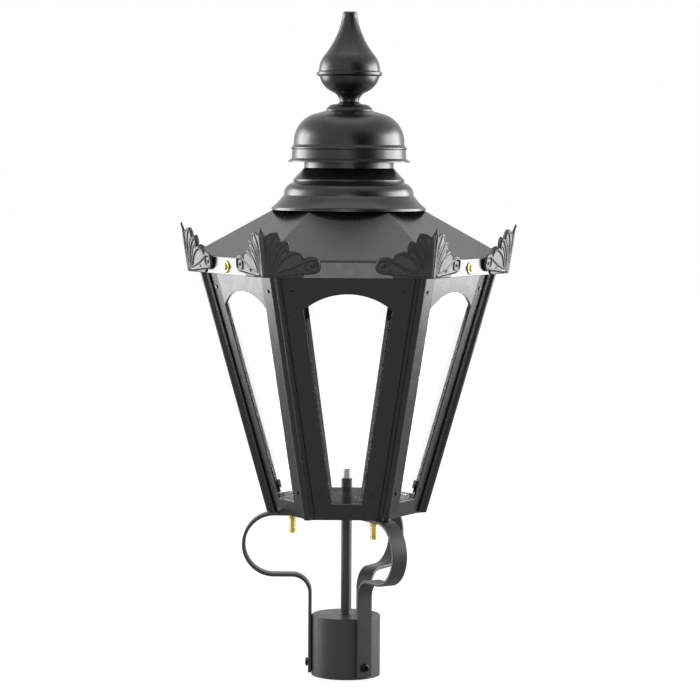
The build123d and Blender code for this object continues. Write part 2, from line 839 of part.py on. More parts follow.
with BuildPart() as crest_rivets:
    stand_off = crest_rivet_height * sin(radians(crest_lean))
    for azimuth in face_azimuths:
        band_face = face_plane(azimuth, eave_inner_apothem, crest_bottom)
        with BuildSketch(band_face):
            with Locations([(place, crest_rivet_height) for place in crest_rivet_places]):
                Circle(rivet_radius)
        extrude(amount=eave_thickness + crest_gap + stand_off + crest_thickness)
save(crest_rivets, "crest_rivets")

# Vent base, spider and dome -----------------------------------------------------------------

with BuildPart() as vent_base:
    with BuildSketch(Plane.XZ):
        with BuildLine():
            trace((vent_rim_radius, vent_rim), raised(vent_outline, vent_rim))
            offset(amount=spinning_wall, side=Side.LEFT)
        make_face()
    revolve(axis=Axis.Z)
save(vent_base, "vent_base")

with BuildPart() as vent_spider:
    with BuildSketch(Plane.XY.offset(vent_neck_top)):
        Circle(spider_hub_radius)
        with PolarLocations(vent_neck_radius / 2, 3):
            Rectangle(vent_neck_radius, spider_arm_width)
        Circle(rod_hole, mode=Mode.SUBTRACT)
    extrude(amount=spider_thickness)
save(vent_spider, "vent_spider")

with BuildPart() as dome_cap:
    with BuildSketch(Plane.XZ):
        with BuildLine():
            crown = trace((dome_rim_radius, vent_neck_top), raised(dome_outline, vent_neck_top))
            Line(crown, (rod_hole, dome_top))
            offset(amount=spinning_wall, side=Side.LEFT)
        make_face()
    revolve(axis=Axis.Z)
save(dome_cap, "dome_cap")

with BuildPart() as rod_spacer:
    with BuildSketch(Plane.XY.offset(vent_neck_top + spider_thickness)):
        Circle(spacer_radius)
        Circle(rod_hole, mode=Mode.SUBTRACT)
    extrude(amount=dome_height - spinning_wall - spider_thickness)
save(rod_spacer, "rod_spacer")

# Collar, finial and the long bolt that clamps them ------------------------------------------

with BuildPart() as collar:
    with BuildSketch(Plane.XZ):
        with BuildLine():
            bore = Polyline(
                (finial_neck_radius, collar_top),
                (rod_hole, collar_top),
                (rod_hole, dome_top),
                (collar_radius, dome_top),
            )
            trace(bore @ 1, raised(collar_outline, dome_top))
        make_face()
    revolve(axis=Axis.Z)
save(collar, "collar")

with BuildPart() as finial_lower:
    with BuildSketch(Plane.XZ):
        with BuildLine():
            bore = Polyline(
                (finial_ring_radius, finial_seam),
                (rod_hole, finial_seam),
                (rod_hole, collar_top),
                (finial_neck_radius, collar_top),
            )
            trace(bore @ 1, raised(finial_lower_outline, collar_top))
        make_face()
    revolve(axis=Axis.Z)
save(finial_lower, "finial_lower")

with BuildPart() as finial_upper:
    with BuildSketch(Plane.XZ):
        with BuildLine():
            bore = Polyline(
                (0, finial_top),
                (0, rod_top + rod_end_gap),
                (rod_hole, rod_top + rod_end_gap),
                (rod_hole, finial_seam),
                (finial_ring_radius, finial_seam),
            )
            tip = trace(bore @ 1, raised(finial_upper_outline, finial_seam))
            Line(tip, bore @ 0)
        make_face()
    revolve(axis=Axis.Z)
save(finial_upper, "finial_upper")

with BuildPart() as finial_bolt:
    with BuildSketch(Plane.XY.offset(vent_neck_top - rod_head)):
        RegularPolygon(rod_head_flats / 2, 6, major_radius=False)
    extrude(amount=rod_head)
    with BuildSketch(Plane.XY.offset(vent_neck_top)):
        Circle(rod_radius)
    extrude(amount=rod_top - vent_neck_top)
save(finial_bolt, "finial_bolt")
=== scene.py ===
from math import atan, cos, pi, radians, sin, tan

import bmesh
import bpy
import numpy as np
from mathutils import Matrix, Vector


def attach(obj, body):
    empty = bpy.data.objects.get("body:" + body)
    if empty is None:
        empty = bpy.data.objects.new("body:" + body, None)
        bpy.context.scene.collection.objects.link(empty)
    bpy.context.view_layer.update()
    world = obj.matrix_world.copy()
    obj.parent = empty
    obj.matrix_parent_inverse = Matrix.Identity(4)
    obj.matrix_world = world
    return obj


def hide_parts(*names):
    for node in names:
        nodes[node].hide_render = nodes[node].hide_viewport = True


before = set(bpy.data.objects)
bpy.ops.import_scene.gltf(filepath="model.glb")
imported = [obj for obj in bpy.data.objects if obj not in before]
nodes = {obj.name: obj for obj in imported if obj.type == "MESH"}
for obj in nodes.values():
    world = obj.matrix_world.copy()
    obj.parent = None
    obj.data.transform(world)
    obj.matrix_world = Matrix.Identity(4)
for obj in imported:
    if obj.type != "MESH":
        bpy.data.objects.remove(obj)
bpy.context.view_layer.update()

# Post socket and its plate ------------------------------------------------------------------
# A short steel tube that drops over the post, closed by a steel disc on top.
# Both are shot-blasted, then powder-coated black; blasting leaves the coat duller than on sheet.

MM = 0.001


def linear(hex_colour):
    """sRGB hex to linear: c / 12.92 up to 0.04045, else ((c + 0.055) / 1.055) to the power 2.4."""
    channels = np.array([int(hex_colour[k : k + 2], 16) / 255 for k in (1, 3, 5)])
    low = channels / 12.92
    high = ((channels + 0.055) / 1.055) ** 2.4
    return (*np.where(channels <= 0.04045, low, high), 1.0)


def add_node(owner, kind, settings=None, links=None):
    """Add a node, set its sockets or properties by name, and link inputs to (node, output) pairs."""
    node = owner.node_tree.nodes.new(kind)
    for key, value in (settings or {}).items():
        if isinstance(key, int) or key in node.inputs:
            node.inputs[key].default_value = value
        else:
            setattr(node, key, value)
    for key, (source, output) in (links or {}).items():
        owner.node_tree.links.new(source.outputs[output], node.inputs[key])
    return node


def empty_material(name):
    """A material whose node tree is still empty."""
    material = bpy.data.materials.new(name)
    material.use_nodes = True
    material.node_tree.nodes.clear()
    return material


def powder_coat(name, dark, light, smooth, rough, peel, rings_mm=0.0):
    """Black powder coat: its colour drifts over about 70 mm and its gloss over 14 mm, and orange
    peel is about 2.5 mm across. Spun sheet also shows its tool's rings, rings_mm apart up the axis;
    a wave texture repeats every pi / 10 units at scale 1."""
    material = empty_material(name)
    place = add_node(material, "ShaderNodeTexCoord")
    drift = add_node(
        material,
        "ShaderNodeTexNoise",
        {"Scale": 1 / (70 * MM), "Detail": 3.0},
        {"Vector": (place, "Object")},
    )
    colour = add_node(
        material,
        "ShaderNodeMix",
        {"data_type": "RGBA", 6: linear(dark), 7: linear(light)},
        {0: (drift, "Fac")},
    )
    patches = add_node(
        material,
        "ShaderNodeTexNoise",
        {"Scale": 1 / (14 * MM), "Detail": 4.0},
        {"Vector": (place, "Object")},
    )
    gloss = add_node(
        material,
        "ShaderNodeMapRange",
        {"From Min": 0.3, "From Max": 0.7, "To Min": smooth, "To Max": rough},
        {"Value": (patches, "Fac")},
    )
    orange_peel = add_node(
        material,
        "ShaderNodeTexNoise",
        {"Scale": 1 / (2.5 * MM), "Detail": 2.0},
        {"Vector": (place, "Object")},
    )
    surface = add_node(
        material,
        "ShaderNodeBump",
        {"Strength": peel, "Distance": 0.1 * MM},
        {"Height": (orange_peel, "Fac")},
    )
    if rings_mm:
        rings = add_node(
            material,
            "ShaderNodeTexWave",
            {
                "bands_direction": "Z",
                "Scale": pi / 10 / (rings_mm * MM),
                "Distortion": 0.6,
                "Detail": 2.0,
                "Detail Scale": 0.4,
            },
            {"Vector": (place, "Object")},
        )
        surface = add_node(
            material,
            "ShaderNodeBump",
            {"Strength": 0.2, "Distance": 0.05 * MM},
            {"Height": (rings, "Fac"), "Normal": (surface, "Normal")},
        )
    coat = add_node(
        material,
        "ShaderNodeBsdfPrincipled",
        {"Metallic": 0.0},
        {"Base Color": (colour, 2), "Roughness": (gloss, "Result"), "Normal": (surface, "Normal")},
    )
    add_node(material, "ShaderNodeOutputMaterial", links={"Surface": (coat, 0)})
    return material


def dress(names, material):
    """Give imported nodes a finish."""
    for name in names:
        nodes[name].data.materials.clear()
        nodes[name].data.materials.append(material)


coated_steel = powder_coat("powder_coated_blasted_steel", "#373733", "#41413c", 0.38, 0.48, 0.10)
dress(["post_socket", "socket_top_plate"], coated_steel)

# Bracket arms -------------------------------------------------------------------------------
# Three lengths of 20 x 4 mm hot-rolled flat bar, bent cold into an S and powder-coated.
# Rolling leaves the long edges slightly round, so each shows a thin line of light.

seam_gap = 0.002 * MM
sliver = 0.001 * MM


def grid_quads(rows, columns, closed, first):
    """Quads between neighbours of a grid, point (row, column) being first + row x columns + column.
    A closed grid also joins its last column to its first."""
    index = first + np.arange(rows * columns).reshape(rows, columns)
    if closed:
        index = np.hstack([index, index[:, :1]])
    corners = (index[:-1, :-1], index[:-1, 1:], index[1:, 1:], index[1:, :-1])
    return np.stack(corners, axis=-1).reshape(-1, 4)


def new_piece(name, grids, material, body, stands_for, closed=True, crisp=40.0):
    """A mesh from grids of points in millimetres, merged at seams and poles, with faces outward.
    Edges that turn by more than crisp degrees stay sharp."""
    points = []
    quads = []
    first = 0
    for grid in grids:
        rows, columns = grid.shape[:2]
        points.append(grid.reshape(-1, 3) * MM)
        quads.append(grid_quads(rows, columns, closed, first))
        first += rows * columns
    mesh = bpy.data.meshes.new(name)
    mesh.from_pydata(np.concatenate(points).tolist(), [], np.concatenate(quads).tolist())
    shell = bmesh.new()
    shell.from_mesh(mesh)
    bmesh.ops.remove_doubles(shell, verts=shell.verts, dist=seam_gap)
    bmesh.ops.dissolve_degenerate(shell, edges=shell.edges, dist=sliver)
    bmesh.ops.recalc_face_normals(shell, faces=shell.faces)
    shell.to_mesh(mesh)
    shell.free()
    mesh.polygons.foreach_set("use_smooth", np.ones(len(mesh.polygons), bool))
    mesh.set_sharp_from_angle(angle=radians(crisp))
    mesh.materials.append(material)
    piece = bpy.data.objects.new(name, mesh)
    bpy.context.scene.collection.objects.link(piece)
    even = piece.modifiers.new("even_normals", "WEIGHTED_NORMAL")
    even.keep_sharp = True
    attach(piece, body)
    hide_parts(*stands_for)


def eased(outline, ease, steps=5):
    """A closed outline whose corners P become parabolas (1-s)^2 A + 2 s (1-s) P + s^2 B,
    where A and B lie on the two sides, the distance ease from P."""
    corner = np.asarray(outline, float)
    to_last = np.roll(corner, 1, axis=0) - corner
    to_next = np.roll(corner, -1, axis=0) - corner
    reach = np.broadcast_to(np.asarray(ease, float), len(corner))[:, None]
    before = corner + to_last / np.linalg.norm(to_last, axis=1, keepdims=True) * reach
    after = corner + to_next / np.linalg.norm(to_next, axis=1, keepdims=True) * reach
    s = np.linspace(0, 1, steps)[None, :, None]
    before, after, corner = before[:, None], after[:, None], corner[:, None]
    curve = (1 - s) ** 2 * before + 2 * s * (1 - s) * corner + s**2 * after
    return curve.reshape(-1, corner.shape[-1])


def arc(centre, radius, start, end, steps):
    """Points centre + radius (cos a, sin a), with the angle a in degrees from start to end."""
    angle = np.radians(np.linspace(start, end, steps))
    return np.stack([centre[0] + radius * np.cos(angle), centre[1] + radius * np.sin(angle)], axis=1)


def turned_to(points, azimuth):
    """Points turned about the upright axis by an azimuth a in degrees:
    (x cos a - y sin a, x sin a + y cos a, z)."""
    c, s = cos(radians(azimuth)), sin(radians(azimuth))
    return points @ np.array([[c, s, 0], [-s, c, 0], [0, 0, 1]])


arm_azimuths = (60, 180, 300)
bar_width = 20.0
bar_thickness = 4.0
rolled_edge = 0.9
cut_edge = 0.7
strap_reach = 44.05
strap_bottom = 3.0
neck_radius = 22.0
loop_radius = 37.5
loop_reach = 88.05
foot_height = 198.0
foot_inner_reach = 52.0
loop_centre = foot_height - loop_radius
strap_top = loop_centre - loop_radius - neck_radius
strap_heights = np.linspace(strap_bottom, strap_top, 12)
foot_reaches = np.linspace(loop_reach, foot_inner_reach, 8)
arm_line = np.concatenate(
    [
        np.stack([np.full_like(strap_heights, strap_reach), strap_heights], axis=1),
        arc((strap_reach + neck_radius, strap_top), neck_radius, 180, 90, 20)[1:],
        arc((loop_reach, loop_centre), loop_radius, -90, 90, 60),
        np.stack([foot_reaches, np.full_like(foot_reaches, foot_height)], axis=1)[1:],
    ]
)
half_width = bar_width / 2
half_thickness = bar_thickness / 2
bar_corners = [
    (-half_width, -half_thickness),
    (half_width, -half_thickness),
    (half_width, half_thickness),
    (-half_width, half_thickness),
]
bar_section = eased(bar_corners, rolled_edge)


def carried(line, section, ease):
    """A section (across, outward) carried along a line: point = line + outward x the line's normal.
    The last section at each end sits back by ease, one smaller by ease all round lies in the cut,
    and a point fills it."""
    tangent = np.gradient(line, axis=0)
    tangent /= np.linalg.norm(tangent, axis=1, keepdims=True)
    normal = np.stack([tangent[:, 1], -tangent[:, 0]], axis=1)
    last = len(line) - 1
    order = np.r_[0, 0, np.arange(last + 1), last, last]
    pull = np.zeros(last + 5)
    pull[[2, -3]] = ease, -ease
    middle = np.ones(last + 1)
    narrower = 1 - 2 * ease / bar_width
    thinner = 1 - 2 * ease / bar_thickness
    wide = np.r_[0, narrower, middle, narrower, 0]
    thick = np.r_[0, thinner, middle, thinner, 0]
    centre = line[order] + tangent[order] * pull[:, None]
    across = np.outer(wide, section[:, 0])
    outward = np.outer(thick, section[:, 1])
    reach = centre[:, :1] + outward * normal[order][:, :1]
    height = centre[:, 1:] + outward * normal[order][:, 1:]
    return np.stack([reach, across, height], axis=-1)


for number, azimuth in enumerate(arm_azimuths, start=1):
    new_piece(
        f"flat_bar_arm_{number}",
        [turned_to(carried(arm_line, bar_section, cut_edge), azimuth)],
        coated_steel,
        "lantern",
        [f"bracket_arm_{number}"],
    )

# Base frame, floor plate and top rail -------------------------------------------------------
# Folded and laser-cut 1.5 and 2 mm steel sheet, powder-coated after welding.
# The cold-rolled sheet is smooth, so its coat is glossy and mirrors the room as soft greys.

coated_sheet = powder_coat("powder_coated_sheet", "#191917", "#1f1f1c", 0.25, 0.30, 0.06)
dress(["base_frame", "floor_plate", "top_rail", "roof_seat", "panel_rivets"], coated_sheet)

# Side panels --------------------------------------------------------------------------------
# Six 1.5 mm sheets, each with an arched window, clamped under the corner bars.
# The clamping bends both stiles back a few degrees, so they mirror another part of the room.

foot_radius = 93.3
head_radius = 177.7
panel_foot = 206.5
panel_height = 299.5
panel_thickness = 1.5
panel_seam = 1.2
head_gap = 0.5
stile = 30.0
sill_height = 13.5
spring_height = 255.0
crown_height = 274.5
window_ease = 0.3
front_fall = tan(radians(4.0))
back_fall = 0.03
arch_steps = 48
hip_slope = (head_radius - foot_radius) / panel_height
face_tilt = atan(hip_slope * cos(radians(30)))
face_length = panel_height / cos(face_tilt) - head_gap


def edge_half(height):
    """Half the sheet's width at a height up the face: half the corner radius there, less the seam."""
    return (foot_radius + (head_radius - foot_radius) * height / face_length) / 2 - panel_seam


def window_half(height):
    """Half the window's width: half the whole face's width, less a stile of even width."""
    return edge_half(height) + panel_seam - stile


def run(*corners, steps=12):
    """Points start + share (end - start) from corner to corner, the last corner left out."""
    corners = np.array(corners, float)
    share = np.linspace(0, 1, steps, endpoint=False)[:, None]
    sides = zip(corners, corners[1:])
    return np.concatenate([start + (end - start) * share for start, end in sides])


right_outer = run(
    (window_half(0), 0),
    (edge_half(0), 0),
    *[(edge_half(height), height) for height in (sill_height, spring_height)],
    (edge_half(face_length), face_length),
    (window_half(face_length), face_length),
)
right_sill = (window_half(sill_height), sill_height)
right_spring = (window_half(spring_height), spring_height)
right_inner = run(right_sill, right_sill, right_sill, right_spring, right_spring, right_spring)
top_half = window_half(face_length)
top_outer = run((top_half, face_length), (-top_half, face_length), steps=arch_steps)
arch_rise = crown_height - spring_height
arch_radius = (window_half(spring_height) ** 2 + arch_rise**2) / (2 * arch_rise)
arch_swing = np.arcsin(window_half(spring_height) / arch_radius)
swing = np.linspace(arch_swing, -arch_swing, arch_steps, endpoint=False)
arch_middle = crown_height - arch_radius
top_inner = np.stack([arch_radius * np.sin(swing), arch_middle + arch_radius * np.cos(swing)], axis=1)
bottom_outer = run((-window_half(0), 0), (window_half(0), 0))
bottom_inner = run((-right_sill[0], sill_height), right_sill)


def whole_loop(right, top, bottom):
    """The right side, the top, the right side mirrored and run backwards, and the bottom. A run
    leaves its last corner out, so the mirrored side starts with the top's first point mirrored."""
    left = np.roll(right[::-1], 1, axis=0) * (-1, 1)
    left[0] = top[0] * (-1, 1)
    return np.concatenate([right, top, left, bottom])


def side_panel(azimuth):
    """Rings from the sheet's edge to its window and round the back, laid on the leaning face:
    point = foot + u across + v up + w out. Beyond the window's line w falls by front_fall x the
    distance, and on the back by back_fall, so that the sheet stays clear of the glass."""
    outer = whole_loop(right_outer, top_outer, bottom_outer)
    inner = whole_loop(right_inner, top_inner, bottom_inner)
    inward = outer - inner
    eased_inner = inner + inward / np.linalg.norm(inward, axis=1, keepdims=True) * window_ease
    loops = np.stack([outer, eased_inner, inner, inner, outer, outer])
    drop = np.array([0, 0, window_ease, panel_thickness, panel_thickness, 0])[:, None]
    u, v = loops[..., 0], loops[..., 1]
    fall = np.array([front_fall, front_fall, front_fall, back_fall, back_fall, front_fall])
    w = -np.clip(np.abs(u) - window_half(v), 0, None) * fall[:, None] - drop
    apothem = foot_radius * cos(radians(30)) + v * sin(face_tilt) + w * cos(face_tilt)
    level = panel_foot + v * cos(face_tilt) - w * sin(face_tilt)
    return turned_to(np.stack([apothem, u, level], axis=-1), azimuth)


for number in range(1, 7):
    new_piece(
        f"arched_panel_{number}",
        [side_panel(60 * number - 30)],
        coated_sheet,
        "lantern",
        [f"side_panel_{number}"],
        crisp=3.0,
    )

# Supply tube, locknuts and lampholder nipple ------------------------------------------------
# The tube is powder-coated steel; the nipple on top is bright zinc-plated with an M10 x 1 thread.
# The spider, spacer and the finial's bolt are zinc-plated too: bright, with cloudy patches.


def plated(name, dark, light, smooth, rough, grain_mm):
    """Bare or plated metal: tint and gloss drift in 3 mm patches, and fine tool marks give a grain."""
    material = empty_material(name)
    place = add_node(material, "ShaderNodeTexCoord")
    patches = add_node(
        material,
        "ShaderNodeTexNoise",
        {"Scale": 1 / (3 * MM), "Detail": 4.0},
        {"Vector": (place, "Object")},
    )
    colour = add_node(
        material,
        "ShaderNodeMix",
        {"data_type": "RGBA", 6: linear(dark), 7: linear(light)},
        {0: (patches, "Fac")},
    )
    gloss = add_node(
        material,
        "ShaderNodeMapRange",
        {"To Min": smooth, "To Max": rough},
        {"Value": (patches, "Fac")},
    )
    marks = add_node(
        material,
        "ShaderNodeTexNoise",
        {"Scale": 1 / (grain_mm * MM), "Detail": 2.0},
        {"Vector": (place, "Object")},
    )
    surface = add_node(
        material,
        "ShaderNodeBump",
        {"Strength": 0.15, "Distance": 0.05 * MM},
        {"Height": (marks, "Fac")},
    )
    metal = add_node(
        material,
        "ShaderNodeBsdfPrincipled",
        {"Metallic": 1.0},
        {"Base Color": (colour, 2), "Roughness": (gloss, "Result"), "Normal": (surface, "Normal")},
    )
    add_node(material, "ShaderNodeOutputMaterial", links={"Surface": (metal, 0)})
    return material


zinc = plated("zinc_plated_steel", "#c4c6c7", "#e2e3e4", 0.24, 0.40, 0.6)
dress(["supply_tube"], coated_steel)
dress(["tube_locknuts", "floor_screws", "weld_nuts"], zinc)
dress(["vent_spider", "rod_spacer", "finial_bolt"], zinc)


def bored(outside, height, bore):
    """Rings (r cos a, r sin a, height) up a turned form's outside, and then down its bore."""
    steps = outside.shape[1]
    angle = np.linspace(0, 2 * pi, steps, endpoint=False)
    radius = np.concatenate([outside, np.full((2, steps), bore), outside[:1]])
    level = np.r_[height, height[-1], height[0], height[0]][:, None] + 0 * radius
    return np.stack([radius * np.cos(angle), radius * np.sin(angle), level], axis=-1)


def threaded(radius, bore, bottom, top, pitch):
    """A bored tube with a thread outside: r = radius - 0.3 pitch (1 + cos(turn)) with
    turn = 2 pi z / pitch - angle, which fades over 0.7 pitch to a 0.5 mm chamfer at each end."""
    angle = np.linspace(0, 2 * pi, 48, endpoint=False)
    height = np.linspace(bottom, top, int((top - bottom) / pitch * 8) + 1)
    fade = np.clip(np.minimum(height - bottom, top - height) / (0.7 * pitch), 0, 1)[:, None]
    depth = 0.3 * pitch * (1 + np.cos(2 * pi * height[:, None] / pitch - angle))
    return bored(radius - depth * fade - 0.5 * (1 - fade), height, bore)


new_piece(
    "threaded_nipple",
    [threaded(radius=5.0, bore=3.6, bottom=226.6, top=252.6, pitch=1.0)],
    zinc,
    "lantern",
    ["lampholder_nipple"],
    crisp=60.0,
)

# Brass studs and nuts -----------------------------------------------------------------------
# Hexagon brass pillars and nuts hold the arms' feet to the base.
# They are turned from bar and left plain, so they are pale gold with a fine lathe grain.

brass = plated("turned_brass", "#a8925a", "#cbb981", 0.34, 0.48, 0.5)


def hexagon(flats, bottom, top, bore):
    """A hexagon with both ends turned to a cone: r = the lesser of flats / 2 / cos(angle from a flat)
    and the cone's radius, which is 0.98 flats / 2 at an end and grows 1.7 times as fast as height."""
    angle = np.linspace(0, 2 * pi, 72, endpoint=False)
    from_flat = np.mod(angle, pi / 3) - pi / 6
    sides = flats / 2 / np.cos(from_flat)
    height = np.concatenate([bottom + np.linspace(0, 0.9, 7), top - np.linspace(0.9, 0, 7)])
    cone = 0.98 * flats / 2 + 1.7 * np.minimum(height - bottom, top - height)
    return bored(np.minimum(sides[None, :], cone[:, None]), height, bore)


stud_reach = 66.0
stud_foot = 174.5
stud_waist = 178.5
stud_shoulder = 191.5
stud_top = 210.5
stud_radius = 3.0
upper_nut_foot = 204.0
nut_height = 4.5
stud_places = [turned_to(np.array([stud_reach, 0.0, 0.0]), azimuth) for azimuth in arm_azimuths]
stud_forms = [
    hexagon(flats=9.0, bottom=stud_foot, top=stud_waist, bore=0.0),
    hexagon(flats=8.0, bottom=stud_waist, top=stud_shoulder, bore=0.0),
    threaded(stud_radius, bore=0.0, bottom=stud_shoulder, top=stud_top, pitch=1.0),
]
nut_forms = [
    hexagon(flats=10.0, bottom=foot, top=foot + nut_height, bore=stud_radius)
    for foot in (stud_shoulder, upper_nut_foot)
]
new_piece(
    "brass_pillars",
    [form + place for form in stud_forms for place in stud_places],
    brass,
    "lantern",
    ["arm_studs"],
)
new_piece(
    "brass_nuts",
    [form + place for form in nut_forms for place in stud_places],
    brass,
    "lantern",
    ["stud_nuts"],
)

# Glass and its clips ------------------------------------------------------------------------
# Six panes of clear 3 mm float glass sit behind the panels, each held by four spring clips.
# A pane shows only as a faint reflection, so its alpha is low; the clips are dull black zinc.

float_glass = empty_material("clear_float_glass")
pane = add_node(
    float_glass,
    "ShaderNodeBsdfPrincipled",
    {
        "Base Color": linear("#f4faf7"),
        "Roughness": 0.02,
        "IOR": 1.52,
        "Transmission Weight": 1.0,
        "Alpha": 0.06,
    },
)
add_node(float_glass, "ShaderNodeOutputMaterial", links={"Surface": (pane, 0)})
dress([f"glass_pane_{number}" for number in range(1, 7)], float_glass)
dress(["glazing_clips"], plated("black_zinc_plated_steel", "#2a2a2b", "#3a3a3b", 0.35, 0.50, 0.6))

# Corner bars --------------------------------------------------------------------------------
# Extruded bar with a round nose and two thin flanges that lap the panels' edges.
# A groove runs each side of the nose, and the flanges' edges are rounded by the coat.

bar_bottom = 200.3
bar_top = 506.0
flange_width = 8.5
flange_thickness = 1.6
groove_depth = 0.5
nose_radius = 4.3
nose_lift = 1.4
coat_edge = 0.12
hip_tilt = atan(hip_slope)
flange_angle = atan(tan(radians(30)) * cos(hip_tilt))
flange_run = flange_width * cos(flange_angle)
flange_drop = flange_width * sin(flange_angle)
flange_lift = flange_thickness / cos(flange_angle)


def flange_top(across):
    """Height of the flanges' outer face over the corner line: their lift less across x their slope."""
    return flange_lift - across * tan(flange_angle)


half_bar = np.array(
    [
        (flange_run, -flange_drop),
        (flange_run, -flange_drop + flange_lift),
        (6.4, flange_top(6.4)),
        (6.0, flange_top(6.0) - groove_depth),
        (5.5, flange_top(5.5) - groove_depth),
        (5.1, flange_top(5.1)),
        (4.6, flange_top(4.6)),
    ]
)
nose = arc((0, nose_lift), nose_radius, 10, 170, 25)
other_half = half_bar[::-1] * (-1, 1)
bar_outline = eased(np.concatenate([half_bar, nose, other_half, [(0, 0)]]), coat_edge, 3)


def corner_bar(azimuth):
    """The outline set at the corner's foot, then slid along the leaning corner line until it meets
    the level cut at each end: point = start + out + across + slide x along."""
    along = np.array([sin(hip_tilt), 0, cos(hip_tilt)])
    out = np.array([cos(hip_tilt), 0, -sin(hip_tilt)])
    start = np.array([foot_radius, 0, panel_foot])
    ring = start + bar_outline[:, 1:] * out + bar_outline[:, :1] * np.array([0, -1.0, 0])
    foot = ring + (bar_bottom - ring[:, 2:]) / along[2] * along
    head = ring + (bar_top - ring[:, 2:]) / along[2] * along
    foot_middle = np.broadcast_to(foot.mean(axis=0), foot.shape)
    head_middle = np.broadcast_to(head.mean(axis=0), head.shape)
    return turned_to(np.stack([foot_middle, foot, head, head_middle]), azimuth)


for number in range(1, 7):
    new_piece(
        f"round_nosed_bar_{number}",
        [corner_bar(60 * (number - 1))],
        coated_sheet,
        "lantern",
        [f"corner_bar_{number}"],
        crisp=30.0,
    )

# Roof skin ----------------------------------------------------------------------------------
# The canopy and the eave band are one folded skin of 1.5 mm sheet: a hemmed upright band,
# a fold of about 2 mm radius, then six sloping panels folded at the hips.

half_hex = cos(radians(30))


def round_hexagons(apothems, radius, steps=7):
    """Rings round a hexagon with rounded corners: each corner is a 60 degree arc of the radius,
    centred at (apothem - radius) / cos 30 on the corner's azimuth."""
    corner = np.radians(np.repeat(np.arange(6) * 60.0, steps))
    swing = corner + np.radians(np.tile(np.linspace(-30, 30, steps), 6))
    centre = (apothems - radius)[:, None] / half_hex
    x = centre * np.cos(corner) + radius * np.cos(swing)
    y = centre * np.sin(corner) + radius * np.sin(swing)
    return x, y


eave_apothem = 166.3
eave_low = 492.7
eave_high = 513.0
eave_corner_radius = 192.02
canopy_top_radius = 86.0
canopy_slope = 0.551
roof_sheet = 1.5
hem = 3.0
hip_fold_radius = 2.2
canopy_top = canopy_top_radius * half_hex
canopy_high = eave_high + (eave_corner_radius - canopy_top_radius) * canopy_slope
# The outer face from the hem up to the canopy's top, then the inner face down again.
roof_corners = [
    (eave_apothem - hem, eave_low),
    (eave_apothem, eave_low),
    (eave_apothem, eave_high),
    (canopy_top, canopy_high),
    (canopy_top - 2.8, canopy_high - 0.2),
    (eave_apothem - 2.6, eave_high - 0.2),
    (eave_apothem - roof_sheet, eave_high - 1.0),
    (eave_apothem - roof_sheet, eave_low + roof_sheet),
    (eave_apothem - hem, eave_low + roof_sheet),
]
roof_ease = np.array([0.3, 0.6, 2.4, 0.4, 0.3, 0.3, 0.3, 0.3, 0.3])
roof_profile = eased(roof_corners, roof_ease, 6)
roof_profile = np.concatenate([roof_profile, roof_profile[:1]])
ring_x, ring_y = round_hexagons(roof_profile[:, 0], hip_fold_radius)
roof_skin = np.stack([ring_x, ring_y, roof_profile[:, 1:] + 0 * ring_x], axis=-1)
new_piece(
    "folded_roof_skin",
    [roof_skin],
    coated_sheet,
    "roof",
    ["roof_shell", "eave_band"],
    crisp=50.0,
)

# Vent base, dome, collar and finial ---------------------------------------------------------
# Spun from aluminium sheet over a wooden former, polished and powder-coated, so smooth and glossy.
# The spinning tool leaves faint rings about 2 mm apart, which still show through the coat.

spun_coat = powder_coat("powder_coated_spun_aluminium", "#141412", "#1a1a18", 0.27, 0.34, 0.04, 2.0)
dress(["vent_base", "dome_cap", "collar", "finial_lower", "finial_upper"], spun_coat)

# Corner crests ------------------------------------------------------------------------------
# Cast aluminium acanthus leaves, two wings bent round each corner and riveted to the eave:
# ribs run from the root to each lobe, the rim is rolled, and the low end curls into a scroll.
# The sand-cast skin keeps a little texture under its powder coat.

cast_coat = powder_coat("powder_coated_casting", "#1c1c1a", "#272725", 0.38, 0.48, 0.15)
crest_low = 493.0
crest_apothem = 166.6
crest_lean = radians(8.2)
# Each stretch of the leaf, as (across, up) in mm: where it starts and ends on the root line, its
# rim's start, middle and end, and its number of points.
stretches = [
    ((0, 0), (0.8, 0), (0, 60), (2.5, 54.5), (5, 49), 12),
    ((0.8, 0), (5, 0), (5, 49), (11.5, 52.8), (19, 53), 24),
    ((5, 0), (5.6, 0), (19, 53), (21.8, 47), (21.5, 41.5), 14),
    ((5.6, 0), (12.5, 0), (21.5, 41.5), (26, 43.8), (30, 43.5), 22),
    ((12.5, 0), (13.2, 0), (30, 43.5), (31.5, 36.5), (29.5, 30), 16),
    ((13.2, 0), (22, 0), (29.5, 30), (33.5, 32.2), (38.5, 31), 22),
    ((22, 0), (24, 0), (38.5, 31), (44.5, 28), (47.5, 23), 16),
    ((24, 0), (44, 0), (47.5, 23), (52, 25.4), (57.5, 25), 26),
    ((44, 0), (46, 3.6), (57.5, 25), (57.5, 25), (57.5, 25), 8),
    ((46, 3.6), (52, 4.1), (57.5, 25), (63.8, 22), (65.6, 14.5), 22),
    ((52, 4.1), (56, 4.4), (65.6, 14.5), (63.8, 8), (56, 4.4), 22),
]


def through(start, middle, end, steps):
    """Points of a parabola: (1-t)(1-2t) start + 4t(1-t) middle + t(2t-1) end."""
    t = np.linspace(0, 1, steps)[:, None]
    start, middle, end = (np.array(point, float) for point in (start, middle, end))
    return (1 - t) * (1 - 2 * t) * start + 4 * t * (1 - t) * middle + t * (2 * t - 1) * end


